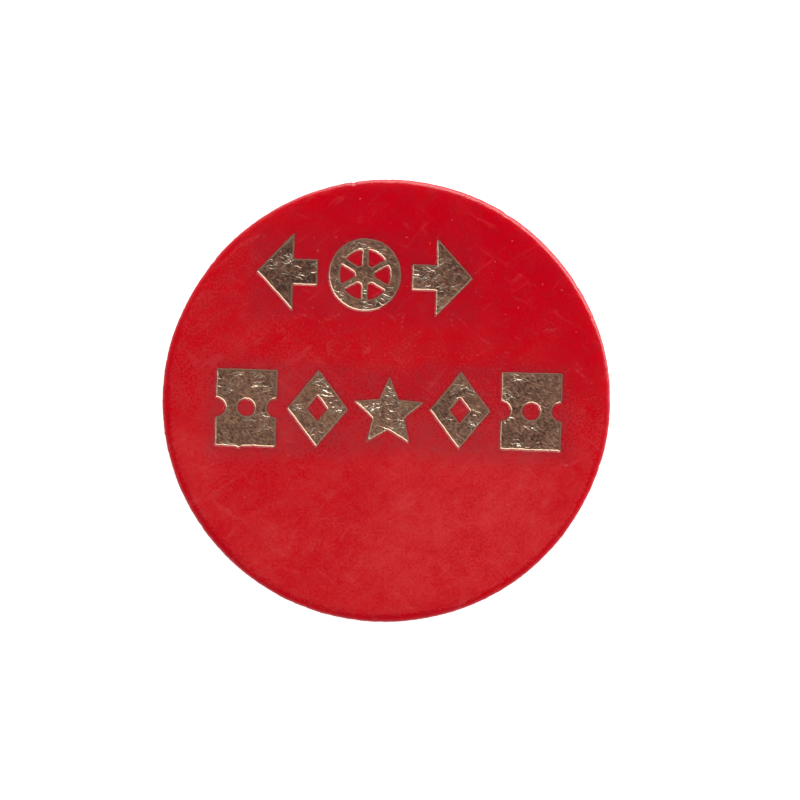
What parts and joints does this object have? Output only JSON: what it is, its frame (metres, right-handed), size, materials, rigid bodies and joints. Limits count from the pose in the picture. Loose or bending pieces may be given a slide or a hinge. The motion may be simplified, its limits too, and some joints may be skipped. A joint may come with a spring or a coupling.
{
  "type": "transit token",
  "caption": "Round plastic fare token, a thin disc with rounded edges and two rows of foil-stamped ornaments sunk into one face.",
  "frame": {"origin": "middle of the back face, which the token rests on", "axes": "+Z out of the stamped face, +X to the right along the rows of marks, +Y to the top of the token"},
  "size_m": [0.0384, 0.0378, 0.0016],
  "materials": {
    "red_plastic": "satin red sheet plastic with fine wipe scratches and a rounded, slightly ragged punched edge",
    "gold_foil": "metallised film under a gold-bronze lacquer, creased and rubbed, bright along the stamped walls"
  },
  "bodies": {
    "root": {"token_blank": "red_plastic", "foil_left_arrow": "gold_foil", "foil_wheel": "gold_foil", "foil_right_arrow": "gold_foil", "foil_left_ticket": "gold_foil", "foil_left_diamond": "gold_foil", "foil_star": "gold_foil", "foil_right_diamond": "gold_foil", "foil_right_ticket": "gold_foil"}
  },
  "joints": []
}
